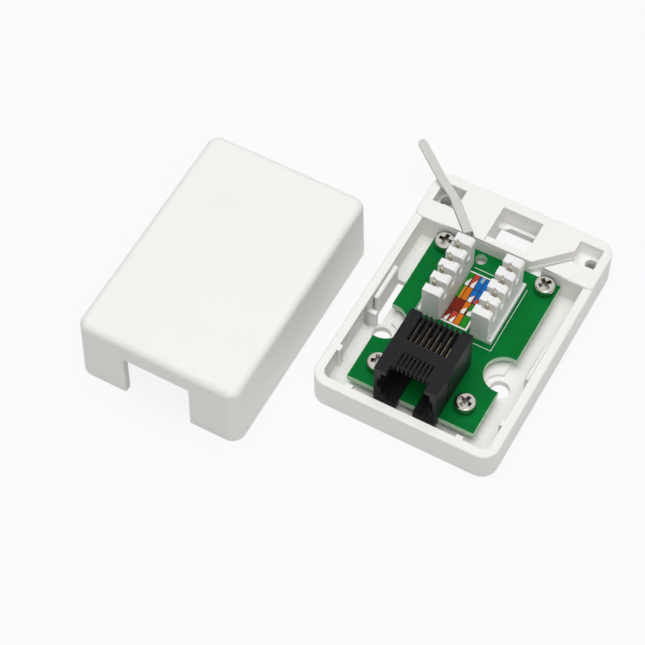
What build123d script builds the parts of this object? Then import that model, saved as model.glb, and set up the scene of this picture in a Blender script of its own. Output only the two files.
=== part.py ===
from build123d import *
import math
import os

# Surface-mount data outlet with one jack. The origin is the centre of the tray's underside,
# +X runs to the right along the front edge, +Y to the cable end and +Z up. Millimetres.

# Tray
tray_width = 45.0
tray_corner = 4.0
tray_wall = 2.2
tray_inner_corner = 2.0
floor_thickness = 1.8
rim_height = 8.4
edge_round = 0.5

# Rear deck of the tray, with its pockets, tie channels and cable window
deck_rise = 0.6
deck_depth = 13.8
deck_corner = 1.5
deck_skin = 1.8
deck_rear_wall = 2.7
pocket_floor_height = 5.0
pocket_width = 5.8
pocket_length = 6.0
pocket_hole_radius = 1.4
plate_slant = 7.9
channel_width = 2.3
channel_step_height = 1.8
channel_step = 0.4
window_width = 10.1
window_bar = 2.7
saddle_drop = 0.8
saddle_lip = 0.8
sill_height = 4.0
sill_thickness = 0.5
sill_depth = 1.3
sill_bulge = 1.1
sill_bulge_width = 2.8

# Floor of the tray
plateau_rise = 0.8
plateau_inset = 1.4
plateau_front_inset = 3.5
plateau_relief = 3.6
wall_hole_radius = 2.25
wall_hole_inset = 0.8
wall_hole_y = -10.9
boss_radius = 2.5
foot_recess_length = 5.0
foot_recess_width = 2.2
foot_recess_depth = 0.9
crush_rib_width = 1.7
crush_rib_depth = 0.8
front_rib_inset = 6.8
side_rib_y = -21.8

# Snap tongues that hold the cover, one at each side
tongue_length = 9.8
tongue_thickness = 0.9
tongue_height = 7.2
tongue_gap = 0.4
tongue_lip = 0.35
left_tongue_y = -0.7
right_tongue_y = -3.8
core_slot_width = 2.2
core_slot_length = 12.6
core_slot_y = -1.9
core_rib_thickness = 1.1
core_rib_length = 2.9
core_rib_height = 7.0

# Cover
cover_side_step = 2.05
cover_end_step = 1.7
cover_height = 19.0
cover_wall = 1.8
cover_corner = 3.2
cover_round = 2.1
cover_draft = 1.4
cover_notch_width = 16.4
cover_notch_height = 12.9
cover_catch_length = 8.0
cover_catch_depth = 0.5
cover_catch_height = 1.2
cover_x = -50.2
cover_y = -20.0

# Circuit board
board_width = 31.2
board_length = 43.9
board_thickness = 1.6
board_shift = -0.45
board_rear_gap = 0.1
board_front_gap = 4.0
board_stand = 2.0
board_notch_radius = 4.7
board_notch_y = -9.0
board_hole_x = -4.0
board_hole_y = 16.1
board_hole_radius = 1.4
rear_screw_side_inset = 3.0
rear_screw_inset = 2.4
front_screw_gap = 3.2
front_screw_inset = 5.4

# Screws
screw_head_radius = 2.42
screw_head_height = 2.3
screw_head_round = 0.6
screw_shank_radius = 1.15
screw_shank_length = 4.4
screw_recess_width = 0.95
screw_recess_length = 3.1
screw_recess_depth = 1.3
screw_hole_clearance = 0.35
boss_hole_clearance = 0.05

# Jack
jack_x = -0.9
jack_overhang = 1.9
jack_width = 15.2
jack_depth = 17.5
jack_height = 11.9
jack_wall = 1.7
jack_roof = 1.5
jack_front_drop = 1.5
plug_width = 11.8
plug_height = 8.1
latch_width = 8.8
latch_height = 1.4
latch_gap_width = 4.2
finger_slot_depth = 0.8
finger_slot_height = 3.4
roof_notch_width = 9.2
roof_notch_depth = 2.3
contact_count = 8
contact_pitch = 1.02
comb_length = 4.1
comb_groove = 0.4
roof_line_width = 7.4
roof_line = 0.25
tail_pitch = 1.27
tail_slot_width = 0.8
tail_slot_length = 7.8
tail_row_gap = 2.54
wire_radius = 0.26
wire_clearance = 0.05
wire_bend = 0.6
wire_angle = 40.0
wire_spring_length = 6.0
carrier_depth = 5.6
carrier_clearance = 0.05
peg_radius = 1.6
peg_length = 2.3
peg_spacing = 11.4
peg_back = 9.7
peg_clearance = 0.1
seam_groove = 0.4

# Terminal blocks
tower_count = 5
tower_pitch = 3.83
tower_depth = 2.45
tower_width = 4.45
tower_height = 9.9
tower_slot_depth = 4.4
tower_chamfer = 0.5
tower_step = 0.4
tower_step_width = 1.5
block_x = -1.0
block_gap = 7.8
block_rear_inset = 3.93
block_flange = 0.95
block_flange_height = 1.4
blade_offset = 0.45
blade_turn = 45.0
blade_thickness = 0.5
blade_width = 2.8
blade_height = 6.0
blade_below_top = 0.7
blade_slit = 0.45
blade_slit_depth = 3.6
blade_clearance = 0.05
pin_side = 0.6
pin_below_board = 0.8
pin_hole_clearance = 0.08
solder_radius = 0.75
solder_height = 0.6
solder_taper = 0.25

# Wiring label
label_thickness = 0.12
label_front_inset = 0.4
label_length = 16.2
label_side_gap = 0.15

# Cable strap
strap_width = 2.1
strap_thickness = 0.9
strap_foot_depth = 0.9
strap_rise = 0.25
strap_corner_rise = 1.0
strap_tip_rise = 2.6
strap_side_inset = 1.6
strap_rear_inset = 3.25
strap_side_reach = 6.5
strap_rear_reach = 3.0
strap_root_inset = 0.8
seat_clearance = 0.05

# Places worked out from the sizes above
half_width = tray_width / 2
tray_length = tray_wall + board_front_gap + board_length + board_rear_gap + deck_depth
half_length = tray_length / 2
inner_half_width = half_width - tray_wall
front_wall_inside = tray_wall - half_length
deck_top = rim_height + deck_rise
deck_front = half_length - deck_depth
deck_rear = half_length - deck_rear_wall
board_bottom = floor_thickness + board_stand
board_top = board_bottom + board_thickness
board_rear = deck_front - board_rear_gap
board_front = board_rear - board_length
plateau_top = floor_thickness + plateau_rise
rear_screw_spacing = board_width - 2 * rear_screw_side_inset
front_screw_spacing = jack_width + 2 * front_screw_gap
wall_hole_spacing = board_width - 2 * wall_hole_inset
jack_top = board_top + jack_height
jack_front = board_front - jack_overhang
peg_y = jack_front + peg_back
jack_rear = jack_front + jack_depth
block_width = tower_width + block_flange
block_length = (tower_count - 1) * tower_pitch + tower_depth
block_front = board_rear - block_rear_inset - block_length
label_front = block_front + label_front_inset
tower_top = board_top + tower_height
slot_bottom = tower_top - tower_slot_depth
OVER = 1.0


def block(x0, x1, y0, y1, z0, z1):
    """A box between two opposite corners."""
    return Pos((x0 + x1) / 2, (y0 + y1) / 2, (z0 + z1) / 2) * Box(x1 - x0, y1 - y0, z1 - z0)


def post(x, y, radius, z0, z1):
    """An upright cylinder."""
    return Pos(x, y, (z0 + z1) / 2) * Cylinder(radius, z1 - z0)


def prism(points, z0, z1):
    """An upright prism on a polygon."""
    face = make_face(Polyline(*points, close=True))
    return Pos(0, 0, z0) * extrude(face, z1 - z0, dir=(0, 0, 1))


def rounded_block(width, length, corner, z0, z1):
    """An upright block with rounded corners about the origin."""
    return Pos(0, 0, z0) * extrude(RectangleRounded(width, length, corner), z1 - z0)


def mirrored(points, side):
    """Plan points for the right side (1) or their mirror image (-1)."""
    return [(side * x, y) for x, y in points]


def both_sides(points, z0, z1):
    """The same prism on the right and, mirrored, on the left."""
    return [prism(mirrored(points, side), z0, z1) for side in (1, -1)]


def screw_places():
    """Plan places of the four board screws."""
    rear_y = board_rear - rear_screw_inset
    front_y = board_front + front_screw_inset
    places = []
    for side in (-1, 1):
        places.append((board_shift + side * rear_screw_spacing / 2, rear_y))
        places.append((board_shift + side * front_screw_spacing / 2, front_y))
    return places


def wall_hole_places():
    """Plan places of the two holes for wall screws."""
    return [(board_shift + side * wall_hole_spacing / 2, wall_hole_y) for side in (-1, 1)]


# Tray

def channel_start():
    """Where the plate between the tie channels begins at the deck's front, on the right."""
    return pocket_inside() - plate_slant


def pocket_inside():
    """The x of the pocket's side towards the window."""
    return inner_half_width - pocket_width


def sunk_outline():
    """A corner pocket with the tie channel that leads out of it to the deck's front."""
    start = channel_start()
    inside = pocket_inside()
    width_along_front = channel_width * math.sqrt(2)
    pocket_front = deck_rear - pocket_length
    far_edge = start + width_along_front
    return [
        (start, deck_front - OVER), (start, deck_front),
        (inside, deck_front + inside - start), (inside, deck_rear),
        (inner_half_width, deck_rear), (inner_half_width, pocket_front),
        (far_edge + pocket_front - deck_front, pocket_front),
        (far_edge, deck_front), (far_edge, deck_front - OVER),
    ]


def step_outline():
    """The step along the foot of the plate's slanting wall."""
    start = channel_start()
    run = pocket_inside() - start - channel_step
    reach = channel_step * math.sqrt(2)
    return [
        (start, deck_front), (start + run, deck_front + run),
        (start + run + reach, deck_front + run), (start + reach, deck_front),
    ]


def window_sill():
    """The thin shelf at the rear of the cable window, its front edge swollen at the left."""
    half = window_width / 2
    front = deck_rear - sill_depth
    swell = front - sill_bulge
    middle = -half + 0.6 * sill_bulge_width
    end = -half + sill_bulge_width
    outline = [
        Line((half, front), (half, deck_rear)),
        Line((half, deck_rear), (-half, deck_rear)),
        Line((-half, deck_rear), (-half, swell)),
        ThreePointArc((-half, swell), (middle, swell + sill_bulge / 5), (end, front)),
        Line((end, front), (half, front)),
    ]
    shelf = extrude(make_face(outline), sill_thickness, dir=(0, 0, 1))
    return Pos(0, 0, sill_height - sill_thickness) * shelf


def under_plate_cores():
    """The hollows under the plate on both sides of the window, open below."""
    left = window_width / 2 + deck_skin
    right = pocket_inside() - deck_skin
    shift = deck_front - channel_start() + deck_skin * math.sqrt(2)
    outline = [(left, left + shift), (right, right + shift), (right, deck_rear), (left, deck_rear)]
    behind_front = block(-half_width, half_width, deck_front + deck_skin, deck_rear, -OVER, deck_top)
    return [core & behind_front for core in both_sides(outline, -OVER, deck_top - deck_skin)]


def tray_shell():
    """Walls, floor and deck before anything is added to them."""
    shell = rounded_block(tray_width, tray_length, tray_corner, 0, rim_height)
    shell = fillet(shell.faces().sort_by(Axis.Z)[-1].outer_wire().edges(), edge_round)
    deck = rounded_block(tray_width, tray_length, tray_corner, 0, deck_top)
    deck &= block(-tray_width, tray_width, deck_front, half_length + OVER, 0, deck_top)
    deck = fillet(deck.edges().filter_by(Axis.Z).group_by(Axis.Y)[0], deck_corner)
    deck = fillet(deck.faces().sort_by(Axis.Z)[-1].outer_wire().edges(), edge_round)
    cavity = block(-inner_half_width, inner_half_width, front_wall_inside, deck_front,
                   floor_thickness, deck_top + OVER)
    cavity = fillet(cavity.edges().filter_by(Axis.Z).group_by(Axis.Y)[0], tray_inner_corner)
    return shell + deck - cavity


def tray_deck(tray):
    """Pockets, channels, window, saddle and the hollows under the deck."""
    tray -= both_sides(sunk_outline(), pocket_floor_height, deck_top + OVER)
    tray += both_sides(step_outline(), pocket_floor_height, pocket_floor_height + channel_step_height)
    half = window_width / 2
    bar_rear = deck_front + window_bar
    tray -= block(-half, half, bar_rear, deck_rear, -OVER, deck_top + OVER)
    tray -= block(-half, half, deck_front + saddle_lip, bar_rear + OVER,
                  deck_top - saddle_drop, deck_top + OVER)
    tray += window_sill()
    tray -= under_plate_cores()
    inside = pocket_inside() + deck_skin
    pocket_core = [
        (inside, deck_front + deck_skin), (inner_half_width, deck_front + deck_skin),
        (inner_half_width, deck_rear), (inside, deck_rear),
    ]
    tray -= both_sides(pocket_core, -OVER, pocket_floor_height - deck_skin)
    hole_x = inner_half_width - pocket_hole_radius - deck_skin / 4
    hole_y = deck_rear - pocket_length / 2 + pocket_hole_radius / 2
    for side in (-1, 1):
        tray -= post(side * hole_x, hole_y, pocket_hole_radius, -OVER, deck_top)
    return tray


def tray_floor(tray):
    """Plateau, bosses, wall-screw holes and the small recesses in the floor."""
    half_plateau = board_width / 2 - plateau_inset
    plateau = block(board_shift - half_plateau, board_shift + half_plateau,
                    board_front + plateau_front_inset, deck_front, floor_thickness, plateau_top)
    for x, y in wall_hole_places():
        plateau -= post(x, y, plateau_relief, 0, board_top)
    tray += plateau
    for x, y in wall_hole_places():
        tray -= post(x, y, wall_hole_radius, -OVER, board_top)
    for x, y in screw_places():
        tray += post(x, y, boss_radius, 0, board_bottom)
        depth = board_top - screw_shank_length - boss_hole_clearance
        tray -= post(x, y, screw_shank_radius + boss_hole_clearance, depth, board_top)
    recess_x = inner_half_width - tray_inner_corner - foot_recess_length / 2 + crush_rib_depth
    recess_y = front_wall_inside + foot_recess_width / 2 + crush_rib_depth
    for side in (-1, 1):
        recess = extrude(SlotOverall(foot_recess_length, foot_recess_width), foot_recess_depth + OVER)
        tray -= Pos(side * recess_x, recess_y, floor_thickness - foot_recess_depth) * recess
    return tray


def tray_ribs(tray):
    """Crush ribs on the walls, snap tongues, and the cored slot with its rib."""
    half_rib = crush_rib_width / 2
    for side in (-1, 1):
        x = side * (inner_half_width - front_rib_inset)
        tray += block(x - half_rib, x + half_rib, front_wall_inside - crush_rib_depth,
                      front_wall_inside + crush_rib_depth, floor_thickness, rim_height)
        wall = side * inner_half_width
        tray += block(wall - crush_rib_depth, wall + crush_rib_depth, side_rib_y - half_rib,
                      side_rib_y + half_rib, floor_thickness, rim_height)
    for side, middle in ((-1, left_tongue_y), (1, right_tongue_y)):
        outside = inner_half_width - tongue_gap
        inside = outside - tongue_thickness
        profile = [
            (side * inside, 0), (side * inside, tongue_height - tongue_lip),
            (side * (inside + tongue_lip), tongue_height), (side * outside, tongue_height),
            (side * (outside + tongue_lip), tongue_height - tongue_lip),
            (side * outside, tongue_height - 3 * tongue_lip), (side * outside, 0),
        ]
        face = make_face(Plane.XZ * Polyline(*profile, close=True))
        tongue = extrude(face, tongue_length / 2, both=True)
        tray += Pos(0, middle, 0) * tongue
    slot_right = -inner_half_width + tongue_gap + tongue_thickness + core_slot_width
    tray -= block(slot_right - core_slot_width, slot_right, core_slot_y - core_slot_length / 2,
                  core_slot_y + core_slot_length / 2, -OVER, floor_thickness + OVER)
    rib_rear = core_slot_y - core_slot_length / 2 - tongue_gap
    tray += block(-inner_half_width - crush_rib_depth, -inner_half_width + core_rib_length,
                  rib_rear - core_rib_thickness, rib_rear, 0, core_rib_height)
    return tray


def base_tray():
    return tray_ribs(tray_floor(tray_deck(tray_shell())))


# Cover

def drafted_block(width, length, corner, height, top_round):
    """A rounded block that narrows upwards, with its top edge rounded."""
    solid = extrude(RectangleRounded(width, length, corner), height, taper=cover_draft)
    return fillet(solid.faces().sort_by(Axis.Z)[-1].outer_wire().edges(), top_round)


def cover():
    width = tray_width - 2 * cover_side_step
    length = tray_length - 2 * cover_end_step
    outer = drafted_block(width, length, cover_corner, cover_height, cover_round)
    inner_corner = max(cover_corner - cover_wall, cover_wall / 2)
    inner_round = min(cover_round / 2, inner_corner / 2)
    inner = drafted_block(width - 2 * cover_wall, length - 2 * cover_wall, inner_corner,
                          cover_height - cover_wall, inner_round)
    shell = outer - inner
    half_notch = cover_notch_width / 2
    shell -= block(-half_notch, half_notch, -length, cover_wall + cover_corner - length / 2,
                   -OVER, cover_notch_height)
    for side, middle in ((-1, left_tongue_y), (1, right_tongue_y)):
        wall = side * (width / 2 - cover_wall / 2)
        inside = side * (width / 2 - cover_wall - cover_catch_depth)
        low, high = sorted((wall, inside))
        shell += block(low, high, middle - cover_catch_length / 2, middle + cover_catch_length / 2,
                       cover_catch_height, 2 * cover_catch_height)
    return Pos(cover_x, cover_y, 0) * shell


# Circuit board

def tail_places():
    """Plan places of the jack's pins, in two staggered rows."""
    middle = (contact_count - 1) / 2
    rear_row = jack_rear - carrier_depth / 4
    return [(jack_x + (i - middle) * tail_pitch, rear_row - (i % 2) * tail_row_gap)
            for i in range(contact_count)]


def block_inner_x(side):
    """The x of a terminal block's side towards the label: -1 is the left block."""
    return block_x + side * block_gap / 2


def blade_places(side):
    """Plan places of a block's contacts, one in each slot."""
    x = block_inner_x(side) + side * (tower_width / 2 + blade_offset)
    first = block_front + tower_depth + (tower_pitch - tower_depth) / 2
    return [(x, first + i * tower_pitch) for i in range(tower_count - 1)]


def peg_places():
    return [(jack_x + side * peg_spacing / 2, peg_y) for side in (-1, 1)]


def circuit_board():
    board = block(board_shift - board_width / 2, board_shift + board_width / 2,
                  board_front, board_rear, board_bottom, board_top)
    low, high = board_bottom - OVER, board_top + OVER
    for side in (-1, 1):
        x = board_shift + side * wall_hole_spacing / 2
        board -= post(x, board_notch_y, board_notch_radius, low, high)
    for x, y in screw_places():
        board -= post(x, y, screw_shank_radius + screw_hole_clearance, low, high)
    board -= post(board_hole_x, board_hole_y, board_hole_radius, low, high)
    for x, y in tail_places():
        board -= post(x, y, wire_radius + pin_hole_clearance, low, high)
    for x, y in peg_places():
        board -= post(x, y, peg_radius + peg_clearance, low, high)
    for side in (-1, 1):
        for x, y in blade_places(side):
            board -= post(x, y, pin_side / math.sqrt(2) + pin_hole_clearance, low, high)
    return board


# Jack

def groove_places():
    """The x of each groove of the comb, which is also that of each contact's spring."""
    middle = (contact_count - 1) / 2
    return [jack_x + (i - middle) * contact_pitch for i in range(contact_count)]


def carrier_front():
    return jack_rear - carrier_depth


def carrier_top():
    return jack_top - jack_roof


def jack_housing():
    """The black shell, open below at the front, with the comb over the plug opening."""
    half = jack_width / 2
    left, right = jack_x - half, jack_x + half
    shell = block(left, right, jack_front, jack_rear, board_top, jack_top)
    shell += block(left, right, jack_front, board_front - seat_clearance,
                   board_top - jack_front_drop, board_top + OVER)
    plug_top = jack_top - jack_roof
    plug_bottom = plug_top - plug_height
    latch_bottom = plug_bottom - latch_height
    back = carrier_front()
    shell -= block(jack_x - plug_width / 2, jack_x + plug_width / 2,
                   jack_front - OVER, back, plug_bottom, plug_top)
    shell -= block(jack_x - latch_width / 2, jack_x + latch_width / 2,
                   jack_front - OVER, back, latch_bottom, plug_bottom)
    shell -= block(jack_x - latch_gap_width / 2, jack_x + latch_gap_width / 2,
                   jack_front - OVER, back, 0, latch_bottom)
    finger_middle = (plug_bottom + plug_top) / 2
    shell -= block(jack_x - plug_width / 2 - finger_slot_depth,
                   jack_x + plug_width / 2 + finger_slot_depth, jack_front - OVER,
                   jack_front + jack_depth / 3, finger_middle - finger_slot_height / 2,
                   finger_middle + finger_slot_height / 2)
    shell -= block(jack_x - roof_notch_width / 2, jack_x + roof_notch_width / 2,
                   jack_front - OVER, jack_front + roof_notch_depth, plug_top - OVER, jack_top + OVER)
    comb_front = jack_front + roof_notch_depth
    for x in groove_places():
        shell -= block(x - comb_groove / 2, x + comb_groove / 2, comb_front - OVER,
                       comb_front + comb_length, plug_top - OVER, jack_top + OVER)
    shell -= jack_rear_room()
    line_y = comb_front + comb_length + roof_line
    shell += block(jack_x - roof_line_width / 2, jack_x + roof_line_width / 2,
                   line_y, line_y + roof_line, jack_top - roof_line, jack_top + roof_line / 2)
    for side in (-1, 1):
        x = jack_x + side * half
        y = jack_front + jack_depth / 3
        shell -= block(x - seam_groove / 2, x + seam_groove / 2, y, y + seam_groove,
                       board_top - OVER, jack_top - jack_roof)
    for x, y in peg_places():
        shell += post(x, y, peg_radius, board_top - peg_length, board_top + OVER)
    return shell


def jack_rear_room():
    """The rear of the housing, hollow for the carrier, with the slots in the roof over it."""
    half = jack_width / 2 - jack_wall
    room = block(jack_x - half, jack_x + half, carrier_front(), jack_rear + OVER,
                 board_top - OVER, carrier_top())
    middle = (contact_count - 1) / 2
    for i in range(contact_count):
        x = jack_x + (i - middle) * tail_pitch
        room += block(x - tail_slot_width / 2, x + tail_slot_width / 2,
                      jack_rear - tail_slot_length, jack_rear + OVER, carrier_top() - OVER,
                      jack_top + OVER)
    return room


def wire_path(x_tail, y_tail, x_spring):
    """The line of one contact: up through the carrier, forward under the roof and back down."""
    run_z = carrier_top() - wire_radius - wire_clearance
    tip_y = jack_front + roof_notch_depth + wire_bend
    comb_rear = jack_front + roof_notch_depth + comb_length
    angle = math.radians(wire_angle)
    end = (x_spring, tip_y + wire_spring_length * math.cos(angle),
           run_z - wire_spring_length * math.sin(angle))
    points = [
        (x_tail, y_tail, board_bottom - pin_below_board),
        (x_tail, y_tail, run_z),
        (x_tail, jack_rear - tail_slot_length, run_z),
        (x_spring, comb_rear, run_z),
        (x_spring, tip_y, run_z),
        end,
    ]
    return FilletPolyline(*points, radius=wire_bend)


def wire_solid(path, radius):
    start = Plane(origin=path @ 0, z_dir=path % 0)
    return sweep(start * Circle(radius), path=path)


def jack_contacts():
    """The spring wires, each with its tail down through the board."""
    return [wire_solid(wire_path(x, y, spring), wire_radius)
            for (x, y), spring in zip(tail_places(), groove_places())]


def contact_carrier():
    """The insert that closes the housing's rear and holds the contacts upright."""
    half = jack_width / 2 - jack_wall - carrier_clearance
    front = carrier_front()
    top = carrier_top() - carrier_clearance
    body = block(jack_x - half, jack_x + half, front, jack_rear - carrier_clearance, board_top, top)
    for (x, y), spring in zip(tail_places(), groove_places()):
        bore = wire_radius + wire_clearance
        body -= post(x, y, bore, board_top - OVER, top + OVER)
        body -= block(x - bore, x + bore, front - OVER, y, top - 3 * wire_radius - wire_bend, top + OVER)
    return body


# Terminal blocks

def terminal_block(side):
    """One white block of towers with a slot for a wire between each two: -1 is the left one."""
    inner = block_inner_x(side)
    outer = inner + side * tower_width
    low, high = sorted((inner, outer))
    rear = block_front + block_length
    body = block(low, high, block_front, rear, board_top, tower_top)
    for corner in body.edges().filter_by(Axis.Y).group_by(Axis.Z)[-1]:
        body = chamfer(corner, tower_chamfer)
    flange = sorted((outer, outer + side * block_flange))
    body += block(flange[0], flange[1], block_front, rear, board_top, board_top + block_flange_height)
    slot_width = tower_pitch - tower_depth
    wide = sorted((inner + side * tower_step_width, outer + side * OVER))
    for x, y in blade_places(side):
        body -= block(low - OVER, high + OVER, y - slot_width / 2, y + slot_width / 2,
                      slot_bottom, tower_top + OVER)
        body -= block(wide[0], wide[1], y - slot_width / 2 - tower_step, y, slot_bottom, tower_top + OVER)
        body -= blade_room(x, y)
    return body


def blade_room(x, y):
    """The cavity that a contact stands in, aslant across its slot and into both towers."""
    half_x = blade_thickness / 2 + blade_clearance
    half_y = blade_width / 2 + blade_clearance
    bottom = blade_bottom() - blade_clearance
    half_pin = pin_side / 2 + blade_clearance
    room = Rot(0, 0, blade_turn) * block(-half_x, half_x, -half_y, half_y, bottom, tower_top + OVER)
    return Pos(x, y, 0) * room + block(x - half_pin, x + half_pin, y - half_pin, y + half_pin,
                                       board_top - OVER, bottom + OVER)


def blade_bottom():
    return tower_top - blade_below_top - blade_height


def terminal_contact(x, y):
    """A forked blade aslant in its slot, with a slit that bites on the wire, and its pin."""
    top = tower_top - blade_below_top
    half_slit = blade_slit / 2
    blade = block(-blade_thickness / 2, blade_thickness / 2, -blade_width / 2, blade_width / 2,
                  blade_bottom(), top)
    mouth = [
        (-half_slit, top - blade_slit_depth), (-half_slit, top - 3 * blade_slit),
        (-2 * blade_slit, top + OVER), (2 * blade_slit, top + OVER),
        (half_slit, top - 3 * blade_slit), (half_slit, top - blade_slit_depth),
    ]
    face = make_face(Plane.YZ * Polyline(*mouth, close=True))
    blade -= extrude(face, blade_thickness, both=True)
    half_pin = pin_side / 2
    return Pos(x, y, 0) * Rot(0, 0, blade_turn) * blade + block(
        x - half_pin, x + half_pin, y - half_pin, y + half_pin,
        board_bottom - pin_below_board, blade_bottom() + half_pin)


# Small pieces

def board_screws():
    """Four pan-head screws with a cross recess, in one node."""
    screws = []
    top = screw_shank_length + screw_head_height
    side_top = top - screw_head_round
    flat = screw_head_radius - screw_head_round
    bend = screw_head_round / math.sqrt(2)
    profile = [
        Line((0, 0), (screw_shank_radius, 0)),
        Line((screw_shank_radius, 0), (screw_shank_radius, screw_shank_length)),
        Line((screw_shank_radius, screw_shank_length), (screw_head_radius, screw_shank_length)),
        Line((screw_head_radius, screw_shank_length), (screw_head_radius, side_top)),
        ThreePointArc((screw_head_radius, side_top), (flat + bend, side_top + bend), (flat, top)),
        Line((flat, top), (0, top)),
        Line((0, top), (0, 0)),
    ]
    plain = revolve(Plane.XZ * make_face(profile), Axis.Z)
    for angle in (0, 90):
        arm = block(-screw_recess_length / 2, screw_recess_length / 2, -screw_recess_width / 2,
                    screw_recess_width / 2, top - screw_recess_depth, top + OVER)
        plain -= Rot(0, 0, angle) * arm
    for number, (x, y) in enumerate(screw_places()):
        turned = Rot(0, 0, 25 * number) * plain
        screws.append(Pos(x, y, board_top - screw_shank_length) * turned)
    return Compound(children=screws)


def solder_joints():
    """The soldered ends of all pins under the board, in one node of separate cones."""
    joints = []
    places = [(x, y, wire_radius) for x, y in tail_places()]
    for side in (-1, 1):
        places += [(x, y, pin_side / math.sqrt(2)) for x, y in blade_places(side)]
    for x, y, hole in places:
        cone = Cone(solder_radius - solder_taper, solder_radius, solder_height)
        cone -= Cylinder(hole + pin_hole_clearance, 2 * solder_height)
        joints.append(Pos(x, y, board_bottom - solder_height / 2) * cone)
    return Compound(children=joints)


def wiring_label():
    left = block_inner_x(-1) + label_side_gap
    right = block_inner_x(1) - label_side_gap
    return block(left, right, label_front, label_front + label_length,
                 board_top, board_top + label_thickness)


def strap_points():
    """The middle of the strap's top: out of the left channel, over the pocket and the corner."""
    across = channel_start() + channel_width / math.sqrt(2)
    length = pocket_inside() - channel_start()
    top = deck_top + strap_rise
    return [
        (-across - strap_root_inset, deck_front + strap_root_inset, top),
        (-across - length, deck_front + length, top + strap_rise),
        (strap_side_inset - half_width, half_length - strap_rear_inset,
         deck_top + strap_corner_rise + strap_thickness),
        (-half_width - strap_side_reach, half_length + strap_rear_reach, deck_top + strap_tip_rise),
    ]


def cable_strap():
    """The strip that ties the cable down, rooted in the left channel, its round end free."""
    points = [Vector(*p) for p in strap_points()]
    sections = []
    for i, point in enumerate(points):
        before = points[max(i - 1, 0)]
        after = points[min(i + 1, len(points) - 1)]
        along = (after - before).normalized()
        side = along.cross(Vector(0, 0, 1)).normalized()
        middle = point - Vector(0, 0, strap_thickness / 2)
        across = Plane(origin=middle, x_dir=side, z_dir=along)
        sections.append(across * Rectangle(strap_width, strap_thickness))
    strip = loft(sections, ruled=True)
    along = (points[-1] - points[-2]).normalized()
    side = along.cross(Vector(0, 0, 1)).normalized()
    end_plane = Plane(origin=points[-1] - Vector(0, 0, strap_thickness / 2), x_dir=side,
                      z_dir=side.cross(along))
    strip += end_plane * Cylinder(strap_width / 2, strap_thickness)
    root = points[0]
    heading = (points[1] - points[0]).normalized()
    angle = math.degrees(math.atan2(heading.Y, heading.X))
    foot_height = root.Z - pocket_floor_height - seat_clearance
    foot_width = channel_width - 2 * (channel_step + seat_clearance)
    foot = Box(strap_foot_depth, foot_width, foot_height)
    foot_place = root + heading * (strap_foot_depth / 2)
    strip += Pos(foot_place.X, foot_place.Y, root.Z - foot_height / 2) * Rot(0, 0, angle) * foot
    return strip


def write(name, shape):
    """Writes one node as a STEP file."""
    shape.label = name
    export_step(shape, os.path.join("parts", name + ".step"))


def main():
    os.makedirs("parts", exist_ok=True)
    write("base_tray", base_tray())
    write("cover", cover())
    write("circuit_board", circuit_board())
    write("jack_housing", jack_housing())
    write("jack_contact_carrier", contact_carrier())
    for number, contact in enumerate(jack_contacts(), 1):
        write(f"jack_contact_{number}", contact)
    for side, name in ((-1, "left"), (1, "right")):
        write(f"terminal_block_{name}", terminal_block(side))
        for number, (x, y) in enumerate(blade_places(side), 1):
            write(f"terminal_contact_{name}_{number}", terminal_contact(x, y))
    write("board_screws", board_screws())
    write("solder_joints", solder_joints())
    write("wiring_label", wiring_label())
    write("cable_strap", cable_strap())


main()
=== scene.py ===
import math

import bmesh
import bpy
from mathutils import Matrix, Vector


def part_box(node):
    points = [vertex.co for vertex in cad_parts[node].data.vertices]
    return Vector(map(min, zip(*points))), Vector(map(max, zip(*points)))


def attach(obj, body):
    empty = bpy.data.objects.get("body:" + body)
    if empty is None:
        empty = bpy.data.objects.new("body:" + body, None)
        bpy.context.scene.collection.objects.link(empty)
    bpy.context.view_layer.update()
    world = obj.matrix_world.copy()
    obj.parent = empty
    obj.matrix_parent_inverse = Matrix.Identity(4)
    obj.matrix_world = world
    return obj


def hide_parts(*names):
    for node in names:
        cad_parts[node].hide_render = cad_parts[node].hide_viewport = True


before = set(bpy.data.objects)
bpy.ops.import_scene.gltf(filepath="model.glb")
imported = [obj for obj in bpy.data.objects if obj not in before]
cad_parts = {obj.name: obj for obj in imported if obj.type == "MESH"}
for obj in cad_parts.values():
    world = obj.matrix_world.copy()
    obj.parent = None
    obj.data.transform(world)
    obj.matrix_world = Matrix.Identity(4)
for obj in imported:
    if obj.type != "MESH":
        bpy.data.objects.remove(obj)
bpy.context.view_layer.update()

MM = 0.001

# The photograph's viewpoint, from the tray's edges and the board's corners
PHOTO_SIDE_PX = 645
FOCAL_PX = 2354.7
SENSOR_MM = 36.0
VIEW_AZIMUTH = 28.93
VIEW_ELEVATION = 57.12
VIEW_ROLL = -0.12
VIEW_DISTANCE = 533.02
VIEW_TARGET = (-29.10, -13.21, 0.0)

# How far the moulds and dies leave each edge broken, in millimetres
TRAY_EDGE = 0.12
COVER_EDGE = 0.2
BLOCK_EDGE = 0.1
JACK_EDGE = 0.08
BOARD_EDGE = 0.04
STRAP_EDGE = 0.15
SCREW_EDGE = 0.05
BLADE_EDGE = 0.03
CARRIER_EDGE = 0.08
UNBROKEN = 0
SHARP = math.radians(34)

# Points of a solid's mesh nearer than this are one, and faces that bend less than this are one
WELD_MM = 0.002
FLAT = math.radians(0.4)

# How far off a wall the painted shade in a screw's recess still reaches, in millimetres
SHADE_REACH_MM = 1.2

# Blender's wave texture turns through this many radians for each unit of its scale
WAVE_RADIANS = 20


def linear(code):
    """An sRGB hex colour as linear light."""
    parts = [int(code[i:i + 2], 16) / 255 for i in (1, 3, 5)]
    return tuple(c / 12.92 if c <= 0.04045 else ((c + 0.055) / 1.055) ** 2.4 for c in parts) + (1.0,)


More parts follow.
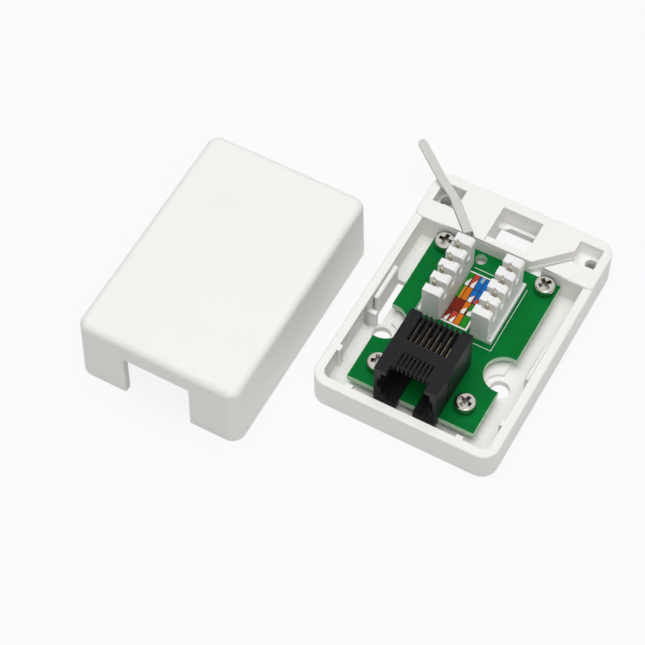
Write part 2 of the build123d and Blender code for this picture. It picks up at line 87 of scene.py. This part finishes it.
def per_metre(size_mm):
    """A pattern's scale from the real size of one of its features."""
    return 1000.0 / size_mm


def add(tree, kind, settings=None, links=None):
    """Adds a node. Lower-case keys are its settings; the others, and numbers, are its sockets."""
    made = tree.nodes.new(kind)
    for key, value in (settings or {}).items():
        if isinstance(key, str) and key[0].islower():
            setattr(made, key, value)
        else:
            made.inputs[key].default_value = value
    for key, socket in (links or {}).items():
        tree.links.new(socket, made.inputs[key])
    return made


# Materials

def start_material(name):
    """A new material with its tree, its shader and its object coordinates."""
    material = bpy.data.materials.new(name)
    material.use_nodes = True
    tree = material.node_tree
    place = add(tree, "ShaderNodeTexCoord").outputs["Object"]
    return material, tree, tree.nodes["Principled BSDF"], place


def moulded_plastic(name, light, dark, roughness, grain_mm, grain_depth_mm, cloud_mm=14.0, see_in=0.0,
                    shine=0.5):
    """Injection-moulded plastic: a spark-eroded mould gives it a fine even grain, and the flow of
    the melt a faint cloudiness in tone and gloss."""
    material, tree, shader, place = start_material(name)
    cloud = add(tree, "ShaderNodeTexNoise", {"Scale": per_metre(cloud_mm), "Detail": 3.0}, {"Vector": place})
    tone = add(tree, "ShaderNodeMix", {"data_type": "RGBA", 6: linear(dark), 7: linear(light)},
               {0: cloud.outputs["Fac"]})
    gloss = add(tree, "ShaderNodeMapRange", {"From Min": 0.3, "From Max": 0.7, "To Min": roughness - 0.05,
                                             "To Max": roughness + 0.05}, {"Value": cloud.outputs["Fac"]})
    grain = add(tree, "ShaderNodeTexNoise", {"Scale": per_metre(grain_mm), "Detail": 2.0}, {"Vector": place})
    relief = add(tree, "ShaderNodeBump", {"Strength": 0.35, "Distance": grain_depth_mm * MM},
                 {"Height": grain.outputs["Fac"]})
    tree.links.new(tone.outputs[2], shader.inputs["Base Color"])
    tree.links.new(gloss.outputs["Result"], shader.inputs["Roughness"])
    tree.links.new(relief.outputs["Normal"], shader.inputs["Normal"])
    shader.inputs["IOR"].default_value = 1.53
    shader.inputs["Specular IOR Level"].default_value = shine
    if see_in:
        shader.inputs["Subsurface Weight"].default_value = see_in
        shader.inputs["Subsurface Radius"].default_value = (1.0, 0.85, 0.65)
        shader.inputs["Subsurface Scale"].default_value = 0.6 * MM
    return material


def solder_mask():
    """Green epoxy mask screened over copper on glass laminate: satin, with the copper's plan and a
    slow ripple of the laminate only just showing through it."""
    material, tree, shader, place = start_material("solder_mask_on_glass_laminate")
    copper = add(tree, "ShaderNodeTexVoronoi", {"distance": "CHEBYCHEV", "Scale": per_metre(9.0)},
                 {"Vector": place})
    edges = add(tree, "ShaderNodeMapRange", {"From Min": 0.28, "From Max": 0.34},
                {"Value": copper.outputs["Distance"]})
    tone = add(tree, "ShaderNodeMix", {"data_type": "RGBA", 6: linear("#02702F"), 7: linear("#026B2C")},
               {0: edges.outputs["Result"]})
    ripple = add(tree, "ShaderNodeTexWave", {"Scale": per_metre(0.9) / WAVE_RADIANS, "Distortion": 0.6},
                 {"Vector": place})
    relief = add(tree, "ShaderNodeBump", {"Strength": 0.08, "Distance": 0.01 * MM},
                 {"Height": ripple.outputs["Fac"]})
    tree.links.new(tone.outputs[2], shader.inputs["Base Color"])
    tree.links.new(relief.outputs["Normal"], shader.inputs["Normal"])
    shader.inputs["Roughness"].default_value = 0.3
    shader.inputs["Specular IOR Level"].default_value = 0.07
    return material


def laminate_edge():
    """The routed edge of the glass laminate: pale, dull and streaked along its layers."""
    material, tree, shader, place = start_material("routed_glass_laminate_edge")
    stretched = add(tree, "ShaderNodeMapping", {"Scale": (1.0, 1.0, 12.0)}, {"Vector": place})
    layers = add(tree, "ShaderNodeTexNoise", {"Scale": per_metre(2.0), "Detail": 4.0},
                 {"Vector": stretched.outputs["Vector"]})
    tone = add(tree, "ShaderNodeMix", {"data_type": "RGBA", 6: linear("#9CC79E"), 7: linear("#D2EBCF")},
               {0: layers.outputs["Fac"]})
    tree.links.new(tone.outputs[2], shader.inputs["Base Color"])
    shader.inputs["Roughness"].default_value = 0.6
    return material


def plated_metal(name, light, dark, roughness, mark_mm, mark_depth_mm, recess_painted_shade=None):
    """Plated metal: bright, with the faint drawing or tumbling marks that the plating doesn't fill.
    Where a recess colour is given, it paints shade into the hollows, as in a screw's cross: the nearer the
    walls, the darker."""
    material, tree, shader, place = start_material(name)
    marks = add(tree, "ShaderNodeTexNoise", {"Scale": per_metre(mark_mm), "Detail": 4.0}, {"Vector": place})
    tone = add(tree, "ShaderNodeMix", {"data_type": "RGBA", 6: linear(dark), 7: linear(light)},
               {0: marks.outputs["Fac"]})
    gloss = add(tree, "ShaderNodeMapRange", {"To Min": roughness * 0.7, "To Max": roughness * 1.3},
                {"Value": marks.outputs["Fac"]})
    relief = add(tree, "ShaderNodeBump", {"Strength": 0.3, "Distance": mark_depth_mm * MM},
                 {"Height": marks.outputs["Fac"]})
    if recess_painted_shade:
        # Painted shade: ambient occlusion blends the recess colour into the hollows, where less light falls
        painted_shade_ao = add(tree, "ShaderNodeAmbientOcclusion", {"Distance": SHADE_REACH_MM * MM})
        tone = add(tree, "ShaderNodeMix", {"data_type": "RGBA", 6: linear(recess_painted_shade)},
                   {0: painted_shade_ao.outputs["AO"], 7: tone.outputs[2]})
    tree.links.new(tone.outputs[2], shader.inputs["Base Color"])
    tree.links.new(gloss.outputs["Result"], shader.inputs["Roughness"])
    tree.links.new(relief.outputs["Normal"], shader.inputs["Normal"])
    shader.inputs["Metallic"].default_value = 1.0
    return material


def printed_ink(name, colour, roughness=0.42):
    """One flat colour of ink on the label's coated paper, slightly uneven where the rollers left it."""
    material, tree, shader, place = start_material(name)
    patches = add(tree, "ShaderNodeTexNoise", {"Scale": per_metre(0.8), "Detail": 3.0}, {"Vector": place})
    darker = tuple(c * 0.86 for c in linear(colour)[:3]) + (1.0,)
    tone = add(tree, "ShaderNodeMix", {"data_type": "RGBA", 6: darker, 7: linear(colour)},
               {0: patches.outputs["Fac"]})
    tree.links.new(tone.outputs[2], shader.inputs["Base Color"])
    shader.inputs["Roughness"].default_value = roughness
    shader.inputs["Specular IOR Level"].default_value = 0.2
    return material


def pale_floor():
    """A white sweep: it shows as nearly white, and keeps the object's soft shadow."""
    material, tree, shader, _ = start_material("white_paper_sweep")
    shader.inputs["Base Color"].default_value = linear("#D6D6D6")
    shader.inputs["Roughness"].default_value = 0.9
    glow = add(tree, "ShaderNodeEmission", {"Color": (1.0, 1.0, 1.0, 1.0), "Strength": 1.0})
    path = add(tree, "ShaderNodeLightPath")
    seen = add(tree, "ShaderNodeMath", {"operation": "MAXIMUM"},
               {0: path.outputs["Is Camera Ray"], 1: path.outputs["Is Glossy Ray"]})
    share = add(tree, "ShaderNodeMath", {"operation": "MULTIPLY", 1: FLOOR_GLOW}, {0: seen.outputs["Value"]})
    mixed = add(tree, "ShaderNodeMixShader", None,
                {0: share.outputs["Value"], 1: shader.outputs["BSDF"], 2: glow.outputs["Emission"]})
    tree.links.new(mixed.outputs["Shader"], tree.nodes["Material Output"].inputs["Surface"])
    return material


abs_white = moulded_plastic("moulded_white_abs", "#F2F1EE", "#EDECE8", 0.42, 0.16, 0.012, see_in=0.12)
block_white = moulded_plastic("moulded_white_polycarbonate", "#EDEDEC", "#E8E8E7", 0.36, 0.2, 0.008,
                              see_in=0.35)
jack_black = moulded_plastic("moulded_black_glass_filled_polyester", "#1F1F23", "#17171A", 0.4, 0.14, 0.02,
                             shine=0.15)
carrier_black = moulded_plastic("moulded_black_insert", "#151518", "#0F0F12", 0.48, 0.2, 0.02, shine=0.12)
strap_grey = moulded_plastic("moulded_natural_nylon", "#D2D1CC", "#C6C5C0", 0.34, 0.3, 0.01, see_in=0.2)
mask_green = solder_mask()
board_edge = laminate_edge()
gold_wire = plated_metal("gold_plated_spring_wire", "#F6E6BC", "#E8CF98", 0.32, 0.5, 0.001)
blade_metal = plated_metal("tinned_phosphor_bronze", "#EAE4D2", "#D8CFB8", 0.38, 0.5, 0.002)
# The nickel's recess colour is painted shade for the dark crosses of the screws
nickel = plated_metal("nickel_plated_steel", "#D2CFC8", "#B4B0A8", 0.13, 0.6, 0.006, recess_painted_shade="#3C3A35")
solder = plated_metal("tin_solder", "#D0D1D2", "#B2B4B6", 0.25, 0.3, 0.02)
paper_white = printed_ink("coated_label_paper", "#F1F0EC")
screen_ink = printed_ink("white_epoxy_legend_ink", "#EEF2EC", 0.55)


# Pieces made from the CAD nodes

def link(name, data, materials):
    """A new object with this mesh and these materials."""
    piece = bpy.data.objects.new(name, data)
    bpy.context.scene.collection.objects.link(piece)
    for material in materials:
        data.materials.append(material)
    return piece


def settle(piece):
    """Turns the evaluated object into its plain mesh and takes its modifiers off."""
    graph = bpy.context.evaluated_depsgraph_get()
    data = bpy.data.meshes.new_from_object(piece.evaluated_get(graph), depsgraph=graph)
    piece.modifiers.clear()
    piece.data = data


def welded(node):
    """A copy of a CAD node's mesh with its loose triangles joined and its flat faces whole."""
    mesh = bmesh.new()
    mesh.from_mesh(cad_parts[node].data)
    bmesh.ops.remove_doubles(mesh, verts=mesh.verts, dist=WELD_MM * MM)
    bmesh.ops.dissolve_limit(mesh, angle_limit=FLAT, verts=mesh.verts, edges=mesh.edges)
    return mesh


def finished(node, body, materials, edge_mm, steps=2, side_material=False, *, slot):
    """The shown form of a CAD node: the same solid with its sharp edges slightly broken."""
    mesh = welded(node)
    name = node + "_finish"
    weight = mesh.edges.layers.float.new("bevel_weight_edge")
    for edge in mesh.edges:
        if edge.is_manifold and edge.calc_face_angle_signed() > SHARP and edge.calc_length() > edge_mm * MM:
            edge[weight] = 1.0
    data = bpy.data.meshes.new(name)
    mesh.to_mesh(data)
    mesh.free()
    for face in data.polygons:
        face.use_smooth = True
        if side_material and abs(face.normal.z) < 0.5:
            face.material_index = 1
    data.set_sharp_from_angle(angle=SHARP)
    piece = link(name, data, materials)
    if edge_mm:
        bevel = piece.modifiers.new("broken_edges", "BEVEL")
        bevel.width = edge_mm * MM
        bevel.segments = steps
        bevel.limit_method = "WEIGHT"
        bevel.use_clamp_overlap = False
        flat = piece.modifiers.new("flat_faces", "WEIGHTED_NORMAL")
        flat.keep_sharp = True
        flat.weight = 100
        settle(piece)
    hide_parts(node)
    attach(piece, body)


finished("base_tray", "base", [abs_white], TRAY_EDGE, slot="white_tray")
finished("cover", "cover", [abs_white], COVER_EDGE, slot="white_cover")
finished("circuit_board", "base", [mask_green, board_edge], BOARD_EDGE, 1, side_material=True,
         slot="green_board")
finished("jack_housing", "base", [jack_black], JACK_EDGE, slot="black_jack")
finished("jack_contact_carrier", "base", [carrier_black], CARRIER_EDGE, 1, slot="black_carrier")
finished("board_screws", "base", [nickel], SCREW_EDGE, slot="nickel_screw")
finished("cable_strap", "strap", [strap_grey], STRAP_EDGE, slot="strap_nylon")
for side in ("left", "right"):
    finished("terminal_block_" + side, "base", [block_white], BLOCK_EDGE, slot="white_block")
    for number in range(1, 5):
        finished(f"terminal_contact_{side}_{number}", "base", [blade_metal], BLADE_EDGE, 1,
                 slot="tinned_bronze")
for number in range(1, 9):
    finished(f"jack_contact_{number}", "base", [gold_wire], UNBROKEN, slot="gold_wire")
finished("solder_joints", "base", [solder], UNBROKEN, slot="solder")


# The label between the blocks

LABEL_GREEN = printed_ink("label_ink_green", "#158C1A")
LABEL_ORANGE = printed_ink("label_ink_orange", "#DE7210")
LABEL_AMBER = printed_ink("label_ink_amber", "#E08A2C")
LABEL_RED = printed_ink("label_ink_red", "#BE4432")
LABEL_BLUE = printed_ink("label_ink_blue", "#046CBE")
LABEL_BROWN = printed_ink("label_ink_brown", "#7E2410")
LABEL_PALE = printed_ink("label_ink_pale_blue", "#8FB4C4")
LABEL_LINE = printed_ink("label_ink_black", "#22201F")

# Each field is its ink and the shapes printed over it, as corners from 0 to 1 across and up the field
FLAG_RIGHT = [(0.28, 0.0), (0.96, 0.0), (0.96, 0.66), (0.28, 0.24)]
FLAG_LEFT = [(0.1, 0.0), (0.76, 0.0), (0.8, 0.6), (0.1, 0.3)]
RIGHT_STRIP = [(0.78, 0.0), (1.0, 0.0), (1.0, 0.62), (0.82, 0.62)]
RIGHT_HALF = [(0.5, 0.0), (1.0, 0.0), (1.0, 1.0), (0.56, 1.0)]
JOINED = [(0.9, 0.0), (1.3, 0.0), (1.3, 1.0), (0.9, 1.0)]
REAR_CORNER = [(0.3, 0.62), (0.9, 0.56), (1.0, 1.0), (0.4, 1.0)]
LABEL_ROWS = [
    [(LABEL_BROWN, [(FLAG_RIGHT, paper_white)]), (LABEL_RED, [(FLAG_RIGHT, paper_white)]),
     (LABEL_ORANGE, []), (LABEL_GREEN, [])],
    [(LABEL_BROWN, [(JOINED, LABEL_BROWN)]), (LABEL_BROWN, []),
     (LABEL_ORANGE, [(FLAG_LEFT, paper_white), (RIGHT_STRIP, LABEL_BROWN)]),
     (LABEL_GREEN, [(FLAG_LEFT, paper_white)])],
    [(LABEL_GREEN, [(RIGHT_HALF, LABEL_AMBER)]), (LABEL_ORANGE, []),
     (LABEL_BLUE, [(FLAG_LEFT, paper_white), (RIGHT_STRIP, LABEL_RED)]),
     (LABEL_BLUE, [(FLAG_LEFT, LABEL_RED)])],
    [(LABEL_GREEN, [(FLAG_RIGHT, paper_white)]), (LABEL_RED, [(FLAG_RIGHT, paper_white)]),
     (LABEL_BLUE, [(REAR_CORNER, LABEL_PALE)]), (LABEL_BLUE, [])],
]
# Where the fields end, as shares of the print's width and length
LABEL_COLUMNS = [0.0, 0.232, 0.466, 0.712, 1.0]
LABEL_LENGTHS = [0.0, 0.229, 0.472, 0.731, 1.0]
LABEL_GAP = 0.2
# How far each layer of print stands above the paper, in millimetres: lines, fields, and the shapes on them
LINE_LIFT = 0.004
FIELD_LIFT = 0.008
SHAPE_LIFT = 0.012
# From the solid's edges to the sheet's, and from the sheet's to the print's: left, right, front, rear
SHEET_INSET = (0.0, 0.92, 0.3, 0.8)
PRINT_MARGIN = (0.08, 0.5, 0.37, 0.35)


def inset(low, high, left, right, front, rear):
    """The sides of an upright box's plan, drawn in by these millimetres."""
    return low[0] + left * MM, high[0] - right * MM, low[1] + front * MM, high[1] - rear * MM


def wiring_label():
    """The sticker: rows of wire colours on white paper, parted by black lines."""
    low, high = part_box("wiring_label")
    left, right, front, rear = inset(low, high, *SHEET_INSET)
    low, high = Vector((left, front, low.z)), Vector((right, rear, high.z))
    mesh = bmesh.new()
    inks = [paper_white]
    bmesh.ops.create_cube(mesh, size=1.0)
    bmesh.ops.scale(mesh, vec=high - low, verts=mesh.verts)
    bmesh.ops.translate(mesh, vec=(low + high) / 2, verts=mesh.verts)

    def field(corners, ink, lift):
        if ink not in inks:
            inks.append(ink)
        face = mesh.faces.new([mesh.verts.new((x, y, high.z + lift * MM)) for x, y in corners])
        face.material_index = inks.index(ink)

    left, right, front, rear = inset(low, high, *PRINT_MARGIN)
    field([(left, front), (right, front), (right, rear), (left, rear)], LABEL_LINE, LINE_LIFT)
    half_gap = LABEL_GAP * MM / 2
    for row, fields in enumerate(LABEL_ROWS):
        y0 = front + LABEL_LENGTHS[row] * (rear - front) + half_gap
        y1 = front + LABEL_LENGTHS[row + 1] * (rear - front) - half_gap
        for column, (ink, shapes) in enumerate(fields):
            x0 = left + LABEL_COLUMNS[column] * (right - left) + half_gap
            x1 = left + LABEL_COLUMNS[column + 1] * (right - left) - half_gap
            field([(x0, y0), (x1, y0), (x1, y1), (x0, y1)], ink, FIELD_LIFT)
            for step, (corners, over) in enumerate(shapes):
                plan = [(x0 + a * (x1 - x0), y0 + b * (y1 - y0)) for a, b in corners]
                field(plan, over, SHAPE_LIFT + LINE_LIFT * step)
    data = bpy.data.meshes.new("wiring_label_print")
    mesh.to_mesh(data)
    mesh.free()
    piece = link("wiring_label_print", data, inks)
    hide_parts("wiring_label")
    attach(piece, "base")


wiring_label()


# The white legend printed on the board, in millimetres: the lines, and how far they lie from the parts

LEGEND_WIDTH = 0.16
LEGEND_THICKNESS = 0.02
LEGEND_LIFT = 0.012
LEGEND_BESIDE_BLOCK = 0.6
LEGEND_BEFORE_BLOCK = 1.35
LEGEND_SHORT_OF_BLOCK = 0.57
LEGEND_BEHIND_LABEL = 0.4
LEGEND_ENDS_INSIDE = (0.4, 0.2)


def strip_tree():
    """Turns lines into flat printed strips: inputs are the strip's width and thickness."""
    tree = bpy.data.node_groups.new("printed_strips", "GeometryNodeTree")
    tree.interface.new_socket("Lines", in_out="INPUT", socket_type="NodeSocketGeometry")
    tree.interface.new_socket("Width", in_out="INPUT", socket_type="NodeSocketFloat")
    tree.interface.new_socket("Thickness", in_out="INPUT", socket_type="NodeSocketFloat")
    tree.interface.new_socket("Ink", in_out="INPUT", socket_type="NodeSocketMaterial")
    tree.interface.new_socket("Strips", in_out="OUTPUT", socket_type="NodeSocketGeometry")
    given = add(tree, "NodeGroupInput")
    curve = add(tree, "GeometryNodeMeshToCurve", None, {"Mesh": given.outputs["Lines"]})
    normal = add(tree, "GeometryNodeSetCurveNormal", {"mode": "Z_UP"}, {"Curve": curve.outputs["Curve"]})
    outline = add(tree, "GeometryNodeCurvePrimitiveQuadrilateral", None,
                  {"Width": given.outputs["Width"], "Height": given.outputs["Thickness"]})
    strips = add(tree, "GeometryNodeCurveToMesh", {"Fill Caps": True},
                 {"Curve": normal.outputs["Curve"], "Profile Curve": outline.outputs["Curve"]})
    real = add(tree, "GeometryNodeRealizeInstances", None, {"Geometry": strips.outputs["Mesh"]})
    inked = add(tree, "GeometryNodeSetMaterial", None,
                {"Geometry": real.outputs["Geometry"], "Material": given.outputs["Ink"]})
    add(tree, "NodeGroupOutput", None, {"Strips": inked.outputs["Geometry"]})
    return tree


def set_inputs(modifier, values):
    """Sets a tree's named inputs by their identifiers."""
    for item in modifier.node_group.interface.items_tree:
        if item.item_type == "SOCKET" and item.in_out == "INPUT" and item.name in values:
            modifier[item.identifier] = values[item.name]


def board_legend():
    """Outlines printed round the blocks' places, and a line behind the label."""
    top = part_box("circuit_board")[1].z + LEGEND_LIFT * MM
    runs = []
    for side in ("left", "right"):
        low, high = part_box("terminal_block_" + side)
        x0, x1 = low.x - LEGEND_BESIDE_BLOCK * MM, high.x + LEGEND_BESIDE_BLOCK * MM
        y0, y1 = low.y - LEGEND_BEFORE_BLOCK * MM, high.y - LEGEND_SHORT_OF_BLOCK * MM
        if side == "left":
            runs.append([(x1, y0), (x0, y0), (x0, y1)])
        else:
            runs.append([(x0, y0), (x1, y0), (x1, y1)])
    low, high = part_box("wiring_label")
    left, right, _, y = inset(low, high, *LEGEND_ENDS_INSIDE, 0, -LEGEND_BEHIND_LABEL)
    runs.append([(left, y), (right, y)])
    lines = bmesh.new()
    for run in runs:
        verts = [lines.verts.new((x, y, top)) for x, y in run]
        for a, b in zip(verts, verts[1:]):
            lines.edges.new((a, b))
    data = bpy.data.meshes.new("board_legend")
    lines.to_mesh(data)
    lines.free()
    piece = link("board_legend", data, [])
    modifier = piece.modifiers.new("strips", "NODES")
    modifier.node_group = strip_tree()
    set_inputs(modifier, {"Width": LEGEND_WIDTH * MM, "Thickness": LEGEND_THICKNESS * MM, "Ink": screen_ink})
    settle(piece)
    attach(piece, "base")


board_legend()


# Camera, floor and light

# The world's light on the object, where 1 is white, and how much of the floor's own white the camera sees
AMBIENT = 0.31
FLOOR_GLOW = 0.88
FLOOR_HALF_SIDE = 3.0
FLOOR_DROP_MM = 0.02

# Each lamp's place and side in metres and its power in watts, and the point that all face
TOP_LAMP = ((-0.06, 0.02, 0.8), 0.6, 4.2)
FRONT_LAMP = ((0.3, -0.34, 0.6), 0.4, 1.15)
LAMPS_AIM = (-0.02, -0.01, 0.0)


def place_camera():
    """The camera at the photograph's viewpoint."""
    azimuth, elevation = math.radians(VIEW_AZIMUTH), math.radians(VIEW_ELEVATION)
    back = Vector((math.sin(azimuth) * math.cos(elevation), -math.cos(azimuth) * math.cos(elevation),
                   math.sin(elevation)))
    right = Vector((0, 0, 1)).cross(back).normalized()
    up = back.cross(right)
    turn, tilt = math.cos(math.radians(VIEW_ROLL)), math.sin(math.radians(VIEW_ROLL))
    right, up = turn * right + tilt * up, -tilt * right + turn * up
    data = bpy.data.cameras.new("camera")
    data.sensor_width = SENSOR_MM
    data.lens = FOCAL_PX / PHOTO_SIDE_PX * SENSOR_MM
    data.clip_start = 0.01
    data.clip_end = 10.0
    camera = bpy.data.objects.new("camera", data)
    bpy.context.scene.collection.objects.link(camera)
    spot = (Vector(VIEW_TARGET) + back * VIEW_DISTANCE) * MM
    camera.matrix_world = Matrix.Translation(spot) @ Matrix((right, up, back)).transposed().to_4x4()
    bpy.context.scene.camera = camera


def soft_box(name, spot, size, power, mirrored=True):
    """A square soft light, which glossy surfaces may mirror or not."""
    data = bpy.data.lights.new(name, "AREA")
    data.size = size
    data.energy = power
    lamp = bpy.data.objects.new(name, data)
    lamp.visible_glossy = mirrored
    bpy.context.scene.collection.objects.link(lamp)
    towards = Vector(LAMPS_AIM) - Vector(spot)
    lamp.matrix_world = Matrix.Translation(spot) @ towards.to_track_quat("-Z", "Y").to_matrix().to_4x4()


def light_and_floor():
    """A pale sweep under even light, stronger from above and from the front right."""
    floor_mesh = bmesh.new()
    bmesh.ops.create_grid(floor_mesh, x_segments=1, y_segments=1, size=FLOOR_HALF_SIDE)
    bmesh.ops.translate(floor_mesh, vec=(0, 0, -FLOOR_DROP_MM * MM), verts=floor_mesh.verts)
    data = bpy.data.meshes.new("floor")
    floor_mesh.to_mesh(data)
    floor_mesh.free()
    link("floor", data, [pale_floor()])
    world = bpy.data.worlds.new("studio")
    bpy.context.scene.world = world
    world.use_nodes = True
    tree = world.node_tree
    path = add(tree, "ShaderNodeLightPath")
    through = add(tree, "ShaderNodeMath", {"operation": "MAXIMUM"},
                  {0: path.outputs["Is Camera Ray"], 1: path.outputs["Is Transmission Ray"]})
    shown = add(tree, "ShaderNodeMath", {"operation": "MAXIMUM"},
                {0: through.outputs["Value"], 1: path.outputs["Is Glossy Ray"]})
    strength = add(tree, "ShaderNodeMapRange", {"To Min": AMBIENT, "To Max": 1.0},
                   {"Value": shown.outputs["Value"]})
    background = tree.nodes["Background"]
    background.inputs["Color"].default_value = (1.0, 1.0, 1.0, 1.0)
    tree.links.new(strength.outputs["Result"], background.inputs["Strength"])
    soft_box("top_light", *TOP_LAMP, mirrored=False)
    soft_box("front_light", *FRONT_LAMP)


place_camera()
light_and_floor()
bpy.context.scene.view_settings.view_transform = "Standard"
